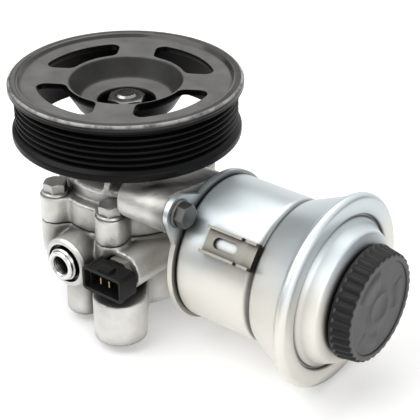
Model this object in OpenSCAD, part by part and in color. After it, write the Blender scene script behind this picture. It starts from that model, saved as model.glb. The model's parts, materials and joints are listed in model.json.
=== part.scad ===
// Power steering pump with an oil tank bolted to its side. All sizes are in millimetres.
// The shaft lies on Z with the pulley on top, the tank lies along +X, the pressure port points to -Y.
// The resting plane is z = 0: the rear pad and the crest of the tank both stand on it.

/* [Pulley] */
// Diameter over the front flange
pulley_d = 130; // [120:1:140]
// Width of the rim
pulley_w = 33.5; // [30:0.5:36]
// Number of belt grooves
groove_n = 6; // [4:1:6]
// Distance from one groove to the next
groove_pitch = 3.56; // [3:0.01:3.6]
// Height of the flanges above the rib tops
flange_rise = 3; // [2:0.1:4]
// Wall left under the grooves
rim_wall = 3.6; // [2.5:0.1:5]
// Depth of the flat round the nut's cup below the front of the rim
web_recess = 14; // [12:0.5:16]
// Depth of the outer face below the front of the rim
face_recess = 2.5; // [1.5:0.5:4]
// Width of the face from the rim's edge to the windows
rim_face = 15.5; // [14:0.5:17]
// Radius of the bowl round the nut, at its mouth
bowl_r = 31.5; // [30:0.5:33]
// Radius of the bowl at its foot
bowl_foot = 25; // [24:0.5:27]
// Thickness of the web
web_t = 3.2; // [2.5:0.1:4]
// Number of windows in the web
window_n = 4; // [3:1:4]
// Distance from the bowl's mouth to the windows
window_inset = 1.5; // [1:0.5:3]
// Width of one spoke
spoke_w = 21; // [18:0.5:26]
// Depth of the nut's cup below the web
cup_depth = 8.5; // [7:0.5:10]
// Diameter of the hub
hub_d = 25; // [23:0.5:28]
// Length of the hub
hub_len = 11.7; // [10:0.1:14]

/* [Shaft and nut] */
// Diameter in the bearing
shaft_d = 17; // [16:0.1:18]
// Diameter in the hub
hub_seat_d = 15; // [13.5:0.1:15.5]
// Thread diameter under the nut
thread_d = 12; // [10:0.5:12]
// Width across the flats of the nut
nut_af = 19; // [17:0.5:22]
// Height of the nut
nut_h = 8; // [6:0.5:10]
// Thickness of the lock washer
washer_t = 2; // [1.5:0.1:3]
// Width of the key
key_w = 4; // [3:0.1:5]

/* [Bearing and seal] */
// Outer diameter of the ball bearing
bearing_d = 35; // [34:0.5:37]
// Width of the ball bearing
bearing_w = 10; // [9:0.1:12]
// Diameter of one ball
ball_d = 4.76; // [4:0.01:5.2]
// Outer diameter of the shaft seal
seal_d = 28; // [25:0.5:30]
// Width of the shaft seal
seal_w = 6; // [5:0.1:8]
// Length of the shaft bush
bush_len = 6; // [4:0.1:8]
// Wall of the shaft bush
bush_wall = 2; // [1.5:0.1:3]
// Thickness of the circlips
circlip_t = 1.2; // [1:0.1:1.5]

/* [Vane pack] */
// Outer diameter of the cam ring and side plates
cam_d = 60; // [59:0.5:62]
// Width of the cam ring
cam_w = 12; // [10:0.5:14]
// Smallest radius of the cam bore
cam_minor = 23.5; // [23:0.1:23.8]
// Extra radius of the cam bore at its two lobes
cam_lift = 2.4; // [1.5:0.1:2.8]
// Thickness of the front side plate
front_plate_t = 4; // [3.5:0.1:6]
// Thickness of the rear side plate
rear_plate_t = 4; // [4:0.1:6]
// Thickness of one vane
vane_t = 1.6; // [1.2:0.1:2]
// Radial height of one vane
vane_h = 8; // [7:0.1:8.2]
// Free travel of a vane down its slot
vane_travel = 1; // [0.6:0.1:1.2]
// Diameter of the dowel pins
pin_d = 3; // [2:0.1:3.4]

/* [Housings] */
// Diameter of the two drums
drum_d = 82; // [80:0.5:84]
// Height of the rear housing up to the joint face
rear_h = 58; // [57:0.5:62]
// Thickness of the front flange
flange_t = 16; // [13:0.5:17]
// Outer diameter of the neck around the bearing
neck_d = 44; // [43:0.5:46]
// Thickness of the ribs on the neck
rib_t = 4; // [3:0.5:5]
// Diameter of the rear pad
pad_d = 48; // [44:1:52]
// Half the spacing of the housing bolts along X
bolt_x = 20.7; // [20:0.1:21]
// Half the spacing of the housing bolts along Y
bolt_y = 38.9; // [38.5:0.1:40]
// Thread diameter of the housing and tank bolts
bolt_d = 8; // [7:0.5:8]
// Diameter of the ears round the bolts
bolt_ear_d = 18; // [17:0.5:19]
// Gap between the joint face and the underside of the suction arm
arm_gap = 1; // [0.5:0.5:2]
// Diameter of the suction arm
arm_d = 36; // [34:0.5:38]

/* [Mounting ears] */
// Distance of both ears from the shaft along X
ear_x = 31.5; // [30:0.5:33]
// Distance of each ear from the shaft along Y
ear_y = 46; // [45:0.5:48]
// Diameter of an ear
ear_d = 30; // [24:0.5:31]
// Height of an ear
ear_h = 26; // [22:0.5:28]
// Height of the ears' undersides above the rear pad
ear_rise = 5; // [3:0.5:6]
// Diameter of the mounting holes
ear_hole_d = 10.5; // [8.5:0.5:12.5]

/* [Pressure port] */
// Depth of the port's axis below the joint face
port_drop = 15; // [14.5:0.5:16]
// Distance of the boss's end from the shaft
port_end = 56; // [54:0.5:58]
// Diameter of the boss
port_boss_d = 29.5; // [26:0.5:29.5]
// Diameter of the valve bore
valve_d = 15; // [14:0.5:16]
// Diameter of the union
union_d = 19; // [18.5:0.5:20]
// How far the union stands out of the boss
union_out = 4; // [2:0.5:6]
// Thread diameter inside the union
port_thread_d = 10.6; // [8:0.2:12]
// Length of the flow-control spool
spool_len = 30; // [26:0.5:31]
// Travel of the spool against its spring
spool_travel = 6; // [3:0.5:8]

/* [Pressure switch] */
// Distance of the switch's axis from the shaft along X
switch_x = 33; // [32.5:0.5:34]
// Depth of the switch's axis below the joint face
switch_drop = 13; // [12:0.5:14]
// Width of the connector
plug_w = 28; // [24:0.5:30]
// Height of the connector
plug_h = 14.5; // [12:0.5:16]
// Length of the connector
plug_len = 13.5; // [12:0.5:16]
// Wall of the connector's socket
plug_wall = 1.8; // [1.2:0.1:2.2]

/* [Tank] */
// Diameter of the can
can_d = 82; // [80:0.5:84]
// Diameter over the crimped crest, which stands on the floor
crest_d = 108; // [108:0.5:110]
// Distance from the shaft to the tank's mounting flange
tank_x = 63.5; // [63:0.5:66]
// Length of the straight can
can_len = 48; // [44:0.5:54]
// Length of the flare
flare_len = 28; // [24:0.5:34]
// Thickness of the tank's sheet
sheet_t = 1.6; // [1.2:0.1:2]
// Thickness of the mounting flange
tank_flange_t = 3; // [2.5:0.1:4]
// Diameter of the mounting flange
tank_flange_d = 86; // [84:0.5:96]
// Radius from the tank's axis to its two bolts
tank_bolt_r = 50.5; // [50:0.1:51]
// Diameter where the cover shows inside the crimp
cover_d = 84; // [82:0.5:88]
// Rise of the cover from the crimp to the neck
cover_rise = 11; // [9:0.5:14]
// Outer diameter of the filler neck
neck_tube_d = 50; // [46:0.5:51]
// Outer diameter of the return nipple
nipple_d = 11; // [9:0.5:12]
// How far the nipple stands out from the can
nipple_len = 23; // [18:0.5:24]
// Outer diameter of the suction spout
spout_d = 18; // [17:0.5:19]
// Length of the bracket on the can
bracket_len = 31; // [24:0.5:36]
// Width of the bracket on the can
bracket_w = 15; // [12:0.5:18]

/* [Cap] */
// Diameter of the cap at its foot
cap_d = 63; // [60:0.5:66]
// Diameter of the cap at its face
cap_face_d = 59.6; // [58:0.2:60]
// Height of the cap
cap_h = 11.6; // [10.5:0.1:14]
// Number of grip grooves
grip_n = 36; // [24:1:40]
// Length of the dipstick below the neck's rim
dip_len = 44; // [30:1:60]

/* [Fits] */
// Radial clearance of running fits
run_gap = 0.03; // [0.02:0.01:0.08]
// Radial clearance of fixed seats
seat_gap = 0.02; // [0.01:0.01:0.05]
// Gap between curved faces that move past each other
free_gap = 0.4; // [0.3:0.05:0.6]

/* [Hidden] */
$fn = 96;
e = 0.01;

// Heights up the shaft, each from the one below it.
z_cam = rear_h + rear_plate_t;
z_front_plate = z_cam + cam_w;
z_chamber = z_front_plate + front_plate_t;
z_seal = z_chamber + bush_len;
z_bearing = z_seal + seal_w;
z_clip = z_bearing + bearing_w;
neck_top = z_clip + circlip_t + 1.3;
z_hub = neck_top + 0.8;
z_cup = z_hub + hub_len;
z_web = z_cup + cup_depth;
z_top = z_web + web_recess;
z_face = z_top - face_recess;
z_rim = z_top - pulley_w;
z_nut = z_cup + washer_t;
z_shaft = z_nut + nut_h + 1.5;

// Pulley.
pulley_r = pulley_d / 2;
crest_r = pulley_r - flange_rise;
groove_h = 0.72 * groove_pitch;
root_r = crest_r - groove_h;
rim_r = root_r - rim_wall;
groove_zone = groove_n * groove_pitch;
rim_side = (pulley_w - groove_zone) / 2;
window_r1 = bowl_r + window_inset;
window_r2 = pulley_r - rim_face;
spoke_angle = -58;
hub_r = hub_d / 2;
cup_r = nut_af / 2 / cos(30) + 4.5;

// Shaft and bearing.
shaft_r = shaft_d / 2;
bearing_r = bearing_d / 2;
ball_r = ball_d / 2;
ball_n = 10;
pitch_r = (shaft_r + bearing_r) / 2;
race_gap = ball_r + run_gap;
inner_r = pitch_r - 0.65 * ball_r;
outer_r = pitch_r + 0.65 * ball_r;
z_ball = z_bearing + bearing_w / 2;

// Vane pack.
cam_r = cam_d / 2;
chamber_r = cam_r + seat_gap;
rotor_r = cam_minor - 0.5;
vane_tip = cam_minor - 0.2;
slot_floor = vane_tip - vane_h - vane_travel - 0.2;
side_gap = 0.03;
spline_r = shaft_r - 0.9;
pin_r = pin_d / 2;
pin_at = (cam_minor + cam_r) / 2 + 0.3;
bush_r = shaft_r + run_gap + bush_wall;

// Housings.
drum_r = drum_d / 2;
neck_r = neck_d / 2;
wall_r = chamber_r + 5;
z_flange = rear_h + flange_t;
z_shoulder = z_chamber + 4;
bolt_r = bolt_d / 2;
bolt_ear_r = bolt_ear_d / 2;
bolt_spots = [[bolt_x, bolt_y], [-bolt_x, bolt_y], [-bolt_x, -bolt_y], [bolt_x, -bolt_y]];
head_af = bolt_d * 1.5;
head_h = bolt_d * 0.85;
bolt_grip = 15;
spring_pit = 3.4;
spring_r = 17;
seal_ring_r = (wall_r + drum_r) / 2 - 2;
seal_wire = 1.1;

// Tank, with its axis on X at the height that lets the crest stand on the floor.
crest_top = crest_d / 2;
tank_z = crest_top;
arm_r = arm_d / 2;
can_r = can_d / 2;
x_can = tank_x + tank_flange_t;
x_flare = x_can + can_len;
x_crest = x_flare + flare_len;
crimp_r = 3.2;
x_crimp = x_crest + crimp_r;
cover_r = cover_d / 2;
x_cover = x_crimp - sheet_t;
neck_tube_r = neck_tube_d / 2;
x_neck = x_crimp + cover_rise;
neck_out = 7;
x_rim = x_neck + neck_out;
suction_z = rear_h + arm_gap + arm_r;
spout_r = spout_d / 2;
spout_in = 14;
strainer_r = spout_r + 2.6;
strainer_len = 14;
tank_bolt_angles = [135, -45];
lug_r = bolt_ear_r + 3;
x_lug = bolt_x + head_af / 2 + 4.5;
nipple_x = x_can + 18;
nipple_z = tank_z - 12;
nipple_r = nipple_d / 2;
bracket_angle = 143;
x_bracket = x_flare - bracket_len - 0.5;

// Cap.
cap_r = cap_d / 2;
cap_face_r = cap_face_d / 2;
gasket_t = 2;
cap_foot = x_neck + 1.3;
cap_bore_r = neck_tube_r + free_gap;
cap_roof = x_rim + gasket_t;
cap_end = cap_foot + cap_h;
gasket_r1 = neck_tube_r - 5;

// Port, valve and switch.
port_z = rear_h - port_drop;
valve_r = valve_d / 2;
union_r = union_d / 2;
union_len = 20;
y_union = -port_end + union_len;
y_spool = y_union + 3.2;
y_spool_end = y_spool + spool_len;
valve_room = spool_travel + 10;
y_valve_end = y_spool_end + valve_room;
port_boss_r = port_boss_d / 2;
switch_z = rear_h - switch_drop;
switch_face = 44.5;
switch_r = 5;
switch_af = 17;
switch_hex = 4;
switch_shank = 10;
y_plug = -switch_face - switch_hex;

// Points of an arc about [x, y] from angle a to angle b.
function arc(x, y, r, a, b, n = 8) =
    [for (i = [0:n]) let (t = a + (b - a) * i / n) [x + r * cos(t), y + r * sin(t)]];

// Outline of one window between two spokes, its middle on angle m, with corner radius c.
function spoke_edge(r, c) = asin((spoke_w / 2 + c) / r);
function window_points(m, c) =
    let (h = 180 / window_n, o = window_r2 - c, i = window_r1 + c)
    let (ao = h - spoke_edge(o, c), ai = h - spoke_edge(i, c))
    concat(
        [for (k = [0:8]) [window_r2 * cos(m - ao + k * ao / 4), window_r2 * sin(m - ao + k * ao / 4)]],
        arc(o * cos(m + ao), o * sin(m + ao), c, m + ao, m + h + 90, 5),
        arc(i * cos(m + ai), i * sin(m + ai), c, m + h + 90, m + ai + 180, 4),
        [for (k = [0:6]) [window_r1 * cos(m + ai - k * ai / 3), window_r1 * sin(m + ai - k * ai / 3)]],
        arc(i * cos(m - ai), i * sin(m - ai), c, m - ai + 180, m - h + 270, 4),
        arc(o * cos(m - ao), o * sin(m - ao), c, m - h - 90, m - ao, 5));

// Turned piece about Z from a half section [radius, height].
module turned(points) {
    rotate_extrude() polygon(points);
}

// Puts a piece drawn along Z onto an axis along X, Y or -Y.
module on_x(x, y, z) {
    translate([x, y, z]) rotate([0, 90, 0]) rotate([0, 0, 90]) children();
}

module on_y(x, y, z) {
    translate([x, y, z]) rotate([-90, 0, 0]) children();
}

module on_minus_y(x, y, z) {
    translate([x, y, z]) rotate([90, 0, 0]) children();
}

// Two round ends joined by their common tangents.
module link(p, r, q, s) {
    d = norm(q - p);
    base = atan2(q[1] - p[1], q[0] - p[0]);
    swing = acos((r - s) / d);
    translate(p) circle(r);
    translate(q) circle(s);
    polygon([
        p + r * [cos(base + swing), sin(base + swing)],
        p + r * [cos(base - swing), sin(base - swing)],
        q + s * [cos(base - swing), sin(base - swing)],
        q + s * [cos(base + swing), sin(base + swing)]]);
}

module tube(r, bore, h) {
    difference() {
        cylinder(r = r, h = h);
        translate([0, 0, -e]) cylinder(r = bore, h = h + 2 * e);
    }
}

// Hexagon bolt with a flanged head, shank along -Z, seat at z = 0.
module flange_bolt(shank) {
    translate([0, 0, -shank]) cylinder(r = bolt_r, h = shank + 1);
    cylinder(r1 = head_af * 0.66, r2 = head_af * 0.6, h = 1.6);
    cylinder(d = head_af / cos(30), h = head_h, $fn = 6);
}

module torus(r, wire) {
    rotate_extrude() translate([r, 0]) circle(wire);
}

module circlip(r1, r2, t) {
    difference() {
        tube(r2, r1, t);
        translate([0, -1.5, -e]) cube([r2 + 1, 3, t + 2 * e]);
    }
}

module pulley() {
    color([0.05, 0.05, 0.055]) difference() {
        turned(concat(
            [[rim_r, z_rim], [pulley_r - 2, z_rim], [pulley_r - 1, z_rim + 1]],
            [[pulley_r - 1, z_rim + rim_side - 1.6]],
            [for (i = [0:groove_n - 1], k = [0:3])
                [k == 0 || k == 3 ? crest_r : root_r,
                    z_rim + rim_side + groove_pitch * (i + [0.1, 0.42, 0.58, 0.9][k])]],
            [[pulley_r, z_top - rim_side + 1.6]],
            arc(pulley_r - 1.6, z_top - 1.6, 1.6, 0, 90, 4),
            [[pulley_r - 4.6, z_top], [pulley_r - 5.6, z_top - 0.4], [pulley_r - 7, z_face]],
            [[bowl_r + 1, z_face], [bowl_r, z_face - 0.5], [bowl_r - 0.8, z_face - 1.8]],
            [[bowl_foot + 1.2, z_web + 2], [bowl_foot + 0.2, z_web + 0.6], [bowl_foot - 1.2, z_web]],
            [[cup_r + 3, z_web], [cup_r + 1, z_web - 0.6], [cup_r, z_web - 2.5]],
            [[cup_r, z_cup], [hub_r, z_cup]],
            [[hub_r, z_cup - web_t], [cup_r + web_t, z_cup - web_t], [cup_r + web_t, z_web - web_t]],
            [[bowl_foot + 0.3 * web_t, z_web - web_t], [bowl_foot + 0.7 * web_t, z_web - 0.7 * web_t]],
            [[bowl_r + 0.55 * web_t, z_face - 1.2 * web_t], [bowl_r + 0.9 * web_t, z_face - web_t]],
            [[rim_r - 3, z_face - web_t], [rim_r - 0.9, z_face - web_t - 0.9], [rim_r, z_face - web_t - 3]]));
        for (k = [0:window_n - 1])
            translate([0, 0, z_face - 2 * web_t]) linear_extrude(2 * web_t + 1)
                polygon(window_points(spoke_angle + 180 * (2 * k + 1) / window_n, 5));
    }
}

module pulley_hub() {
    color([0.1, 0.1, 0.11]) difference() {
        translate([0, 0, z_hub]) cylinder(r = hub_r, h = hub_len);
        translate([0, 0, z_hub - e]) cylinder(d = hub_seat_d + 2 * seat_gap, h = hub_len + 2 * e);
        translate([-key_w / 2 - seat_gap, 0, z_hub - e])
            cube([key_w + 2 * seat_gap, hub_seat_d / 2 + key_w / 2 + seat_gap, hub_len + 2 * e]);
    }
}

module lock_washer() {
    color([0.55, 0.55, 0.57]) translate([0, 0, z_cup])
        circlip(thread_d / 2 + 0.4, nut_af / 2 + 0.6, washer_t);
}

module pulley_nut() {
    color([0.6, 0.6, 0.62]) difference() {
        intersection() {
            translate([0, 0, z_nut]) cylinder(d = nut_af / cos(30), h = nut_h, $fn = 6);
            turned([[0, z_nut], [nut_af * 0.6, z_nut], [nut_af * 0.6, z_nut + nut_h - 1.4],
                [nut_af * 0.5, z_nut + nut_h], [0, z_nut + nut_h]]);
        }
        translate([0, 0, z_nut - e]) cylinder(r = thread_d / 2 + seat_gap, h = nut_h + 2 * e);
    }
}

module spline(gap, h) {
    for (i = [0:7])
        rotate([0, 0, 45 * i]) translate([0, -1.3 - gap, 0]) cube([spline_r + 0.7 + gap, 2.6 + 2 * gap, h]);
}

module drive_shaft() {
    color([0.66, 0.67, 0.7]) difference() {
        union() {
            turned([[0, rear_h + 0.4], [spline_r - 1.4, rear_h + 0.4],
                [spline_r - 0.4, rear_h + 1.2], [spline_r - 0.4, z_cam],
                [spline_r, z_cam], [spline_r, z_front_plate], [shaft_r, z_front_plate], [shaft_r, z_hub],
                [hub_seat_d / 2, z_hub], [hub_seat_d / 2, z_cup - 0.4], [thread_d / 2, z_cup - 0.4],
                [thread_d / 2, z_shaft - 1.2], [thread_d / 2 - 1.2, z_shaft], [0, z_shaft]]);
            translate([0, 0, z_cam + side_gap]) spline(0, cam_w + 1);
        }
        translate([0, 0, z_cam - 0.8 - circlip_t])
            tube(shaft_r + 1, spline_r - 1.4, circlip_t);
        translate([-key_w / 2, hub_seat_d / 2 - key_w / 2, z_hub + 0.5]) cube([key_w, key_w, hub_len - 2]);
    }
}

module shaft_key() {
    color([0.5, 0.5, 0.52]) translate([-key_w / 2, hub_seat_d / 2 - key_w / 2, z_hub + 0.5 + seat_gap])
        cube([key_w, key_w, hub_len - 2 - 2 * seat_gap]);
}

module bearing_inner() {
    color([0.7, 0.71, 0.73]) difference() {
        translate([0, 0, z_bearing]) tube(inner_r, shaft_r + seat_gap, bearing_w);
        translate([0, 0, z_ball]) torus(pitch_r, race_gap);
    }
}

module bearing_outer() {
    color([0.7, 0.71, 0.73]) difference() {
        translate([0, 0, z_bearing]) tube(bearing_r, outer_r, bearing_w);
        translate([0, 0, z_ball]) torus(pitch_r, race_gap);
    }
}

module bearing_cage() {
    color([0.72, 0.6, 0.35]) difference() {
        translate([0, 0, z_ball - ball_r - 0.9])
            tube(outer_r - free_gap, inner_r + free_gap, 2 * ball_r + 1.8);
        for (i = [0:ball_n - 1])
            rotate([0, 0, 360 / ball_n * i]) translate([pitch_r, 0, z_ball]) sphere(ball_r + run_gap);
    }
}

module bearing_balls() {
    color([0.75, 0.76, 0.78]) for (i = [0:ball_n - 1])
        rotate([0, 0, 360 / ball_n * i]) translate([pitch_r, 0, z_ball]) sphere(ball_r);
}

module bearing_circlip() {
    color([0.3, 0.3, 0.32]) translate([0, 0, z_clip]) circlip(bearing_r - 2.2, bearing_r + 0.9, circlip_t);
}

module shaft_seal() {
    color([0.09, 0.09, 0.1]) difference() {
        translate([0, 0, z_seal]) tube(seal_d / 2, shaft_r + run_gap, seal_w - 0.2);
        translate([0, 0, z_seal - e]) tube(seal_d / 2 - 1.6, shaft_r + 1.6, seal_w - 2);
    }
}

module shaft_bush() {
    color([0.66, 0.5, 0.28]) translate([0, 0, z_chamber]) tube(bush_r, shaft_r + run_gap, bush_len);
}

module rotor() {
    color([0.55, 0.56, 0.58]) difference() {
        translate([0, 0, z_cam + side_gap]) cylinder(r = rotor_r, h = cam_w - 2 * side_gap);
        translate([0, 0, z_cam]) cylinder(r = spline_r + seat_gap, h = cam_w);
        translate([0, 0, z_cam]) spline(seat_gap, cam_w);
        for (i = [0:9])
            rotate([0, 0, 36 * i + 18]) {
                translate([slot_floor, -vane_t / 2 - run_gap, z_cam])
                    cube([rotor_r, vane_t + 2 * run_gap, cam_w]);
                translate([slot_floor, 0, z_cam]) cylinder(r = vane_t * 0.8, h = cam_w);
            }
    }
}

module rotor_circlip() {
    color([0.3, 0.3, 0.32]) translate([0, 0, z_cam - 0.8 - circlip_t])
        circlip(spline_r - 1.4 + seat_gap, shaft_r + 1.2, circlip_t);
}

module vane(i) {
    color([0.72, 0.73, 0.75]) rotate([0, 0, 36 * i - 18])
        translate([vane_tip - vane_h, -vane_t / 2, z_cam + side_gap])
            cube([vane_h, vane_t, cam_w - 2 * side_gap]);
}

module cam_ring() {
    color([0.5, 0.51, 0.53]) difference() {
        translate([0, 0, z_cam]) cylinder(r = cam_r, h = cam_w);
        translate([0, 0, z_cam - e]) linear_extrude(cam_w + 2 * e)
            polygon([for (t = [0:5:355]) (cam_minor + cam_lift * (1 + cos(2 * t)) / 2) * [cos(t), sin(t)]]);
        dowel_holes();
    }
}

module dowel_holes() {
    for (s = [-1, 1])
        translate([0, s * pin_at, rear_h - 1]) cylinder(r = pin_r + seat_gap, h = z_chamber + 4 - rear_h);
}

module dowel_pins() {
    color([0.7, 0.7, 0.72]) for (s = [-1, 1])
        translate([0, s * pin_at, rear_h + 0.2]) cylinder(r = pin_r, h = z_chamber + 2.6 - rear_h);
}

module plate_ports(z, h) {
    for (a = [45:90:315])
        rotate([0, 0, a]) translate([cam_minor - 4.5, 0, z - e]) cylinder(r = 2.4, h = h + 2 * e);
}

module front_plate() {
    color([0.6, 0.61, 0.63]) difference() {
        translate([0, 0, z_front_plate]) tube(cam_r, shaft_r + free_gap, front_plate_t);
        plate_ports(z_front_plate, front_plate_t);
        dowel_holes();
    }
}

module rear_plate() {
    color([0.6, 0.61, 0.63]) difference() {
        translate([0, 0, rear_h]) tube(cam_r, spline_r - 0.4 + run_gap, rear_plate_t);
        translate([0, 0, z_cam - 2.4]) cylinder(r = shaft_r + 1.8, h = 3);
        plate_ports(rear_h, rear_plate_t);
        dowel_holes();
    }
}

module plate_spring() {
    color([0.4, 0.41, 0.43]) turned([[10, rear_h - 1.2], [10.4, rear_h], [11.4, rear_h],
        [spring_r - 0.4, rear_h - spring_pit + 1.2], [spring_r - 0.4, rear_h - spring_pit],
        [spring_r - 1.4, rear_h - spring_pit]]);
}

module neck_ribs() {
    for (a = [-70:45:245])
        rotate([0, 0, a]) translate([0, rib_t / 2, 0]) rotate([90, 0, 0]) linear_extrude(rib_t)
            polygon([[neck_r - 2, z_shoulder - 2], [wall_r - 1, z_shoulder - 2], [wall_r - 1, z_shoulder + 2],
                [neck_r + 2.5, neck_top - 4], [neck_r - 2, neck_top - 4]]);
}

module bolt_ears(z, h) {
    for (p = bolt_spots)
        translate([0, 0, z]) linear_extrude(h) link(p, bolt_ear_r, p * 0.55, bolt_ear_r + 3);
}

module housing_bolts() {
    color([0.62, 0.62, 0.6]) for (p = bolt_spots)
        translate([p[0], p[1], z_flange]) flange_bolt(flange_t + bolt_grip);
}

module lug_spot(k) {
    a = tank_bolt_angles[k];
    translate([0, tank_bolt_r * cos(a), tank_z + tank_bolt_r * sin(a)]) children();
}

module suction_arm() {
    lug = [tank_bolt_r * cos(tank_bolt_angles[0]) + 2, tank_z + tank_bolt_r * sin(tank_bolt_angles[0]) - 2];
    on_x(0, 0, suction_z) cylinder(r = arm_r, h = tank_x);
    on_x(x_lug, 0, 0) linear_extrude(tank_x - x_lug) link([0, suction_z], arm_r, lug, lug_r);
}

module front_housing() {
    color([0.8, 0.8, 0.79]) difference() {
        union() {
            turned([[0, rear_h], [drum_r, rear_h], [drum_r, z_flange - 1.2], [drum_r - 1.2, z_flange],
                [wall_r, z_flange], [wall_r, z_shoulder - 2], [wall_r - 2, z_shoulder],
                [neck_r + 1, z_shoulder], [neck_r, z_shoulder + 2],
                [neck_r, neck_top - 1], [neck_r - 1, neck_top], [0, neck_top]]);
            neck_ribs();
            bolt_ears(rear_h, flange_t);
            suction_arm();
        }
        translate([0, 0, rear_h - e]) cylinder(r = chamber_r, h = z_chamber - rear_h + e);
        translate([0, 0, z_chamber - 1]) cylinder(r = bush_r + seat_gap, h = bush_len + 2);
        translate([0, 0, z_seal]) cylinder(r = seal_d / 2 + seat_gap, h = seal_w + 1);
        translate([0, 0, z_bearing]) cylinder(r = bearing_r + seat_gap, h = neck_top);
        translate([0, 0, z_clip]) cylinder(r = bearing_r + 0.9 + seat_gap, h = circlip_t);
        dowel_holes();
        for (p = bolt_spots)
            translate([p[0], p[1], rear_h - 1]) cylinder(r = bolt_r + 0.4, h = flange_t + 20);
        for (p = bolt_spots)
            translate([p[0], p[1], z_flange]) cylinder(r = head_af * 0.66 + 0.6, h = 20);
        on_x(drum_r - 12, 0, suction_z) cylinder(r = spout_r + seat_gap, h = tank_x);
        lug_spot(0) on_x(tank_x - bolt_grip - 3, 0, 0) cylinder(r = bolt_r + seat_gap, h = bolt_grip + 4);
    }
}

module core_pockets() {
    for (a = [120, 165, 210])
        rotate([0, 0, a]) translate([0, 0, -1]) linear_extrude(28)
            polygon(concat(arc(0, 0, drum_r - 5.5, -17, 17, 8), arc(0, 0, pad_d / 2 + 3, 14, -14, 6)));
}

module rear_housing() {
    lug = [tank_bolt_r * cos(tank_bolt_angles[1]), tank_z + tank_bolt_r * sin(tank_bolt_angles[1])];
    color([0.78, 0.78, 0.77]) difference() {
        union() {
            turned([[0, 0], [pad_d / 2 - 1, 0], [pad_d / 2, 1], [pad_d / 2, 7], [drum_r - 4, 10],
                [drum_r - 1, 14], [drum_r - 1, rear_h - 14], [drum_r, rear_h - 12],
                [drum_r, rear_h], [0, rear_h]]);
            bolt_ears(rear_h - 20, 20);
            on_minus_y(0, 0, port_z) cylinder(r = port_boss_r, h = port_end - 1.5);
            on_minus_y(0, -port_end + 1.5, port_z)
                cylinder(r1 = port_boss_r, r2 = port_boss_r - 1.5, h = 1.5);
            translate([-2, -drum_r + 3, 4]) cylinder(r1 = 9, r2 = 11, h = 2);
            translate([-2, -drum_r + 3, 6]) cylinder(r = 11, h = port_z - 12);
            on_minus_y(switch_x, -10, switch_z) cylinder(r = switch_af / 2 + 3, h = switch_face - 10);
            for (s = [-1, 1])
                translate([0, 0, ear_rise]) linear_extrude(ear_h)
                    link([ear_x, s * ear_y], ear_d / 2, [12, s * 16], 11);
            on_x(21.5, lug[0], lug[1]) cylinder(r = bolt_ear_r + 1, h = tank_x - 21.5);
            translate([22.5, 2.5, lug[1] - bolt_ear_r + 1])
                cube([tank_x - 22.5, lug[0] - 2.5, 2 * bolt_ear_r - 3]);
        }
        translate([0, 0, rear_h - spring_pit]) cylinder(r = spring_r, h = spring_pit + 1);
        translate([0, 0, rear_h - 2 * seal_wire])
            tube(seal_ring_r + seal_wire + seat_gap, seal_ring_r - seal_wire - seat_gap, 2 * seal_wire + 1);
        for (p = bolt_spots)
            translate([p[0], p[1], rear_h - bolt_grip - 2])
                cylinder(r = bolt_r + seat_gap, h = bolt_grip + 3);
        on_minus_y(0, y_valve_end, port_z) cylinder(r = valve_r, h = port_end + y_valve_end + 1);
        on_minus_y(0, y_union, port_z) cylinder(r = union_r + seat_gap, h = union_len + 1);
        on_minus_y(0, -port_end + 3, port_z) cylinder(r = union_r + 2, h = 4);
        translate([0, -9, port_z]) cylinder(r = 2.5, h = rear_h - port_z);
        on_minus_y(switch_x, -switch_face + switch_shank + 4, switch_z)
            cylinder(r = switch_r + seat_gap, h = switch_shank + 10);
        on_minus_y(switch_x, -switch_face, switch_z) cylinder(r = switch_af / 2 / cos(30) + 0.8, h = 20);
        for (s = [-1, 1])
            translate([ear_x, s * ear_y, ear_rise - 1]) cylinder(d = ear_hole_d, h = ear_h + 2);
        lug_spot(1) on_x(tank_x - bolt_grip - 3, 0, 0) cylinder(r = bolt_r + seat_gap, h = bolt_grip + 4);
        core_pockets();
    }
}

module housing_seal() {
    color([0.08, 0.08, 0.08]) translate([0, 0, rear_h - seal_wire]) torus(seal_ring_r, seal_wire);
}

module port_union() {
    color([0.83, 0.83, 0.8]) difference() {
        on_minus_y(0, y_union, port_z) turned([[0, 0], [union_r, 0], [union_r, union_len + union_out - 1],
            [union_r - 1, union_len + union_out], [0, union_len + union_out]]);
        on_minus_y(0, -port_end + 6, port_z) cylinder(r = port_thread_d / 2, h = 8 + union_out);
        on_minus_y(0, -port_end + 8, port_z)
            cylinder(r1 = port_thread_d / 2 - 3, r2 = port_thread_d / 2, h = 2 + e);
        on_minus_y(0, y_union + 1, port_z) cylinder(r = 2.2, h = union_len + 2);
        on_minus_y(0, y_union - 4, port_z) tube(union_r + 1, union_r - 1.6, 2);
    }
}

module union_seal() {
    color([0.07, 0.07, 0.07]) on_minus_y(0, y_union - 5, port_z) torus(union_r - 0.8, 0.8);
}

module flow_spool() {
    land = valve_r - run_gap;
    color([0.7, 0.71, 0.73]) on_y(0, y_spool, port_z) turned([[0, 0], [valve_r - 2.5, 0], [valve_r - 2.5, 3],
        [land, 3], [land, 10], [valve_r - 1.8, 11], [valve_r - 1.8, 18], [land, 19],
        [land, spool_len], [0, spool_len]]);
}

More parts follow.
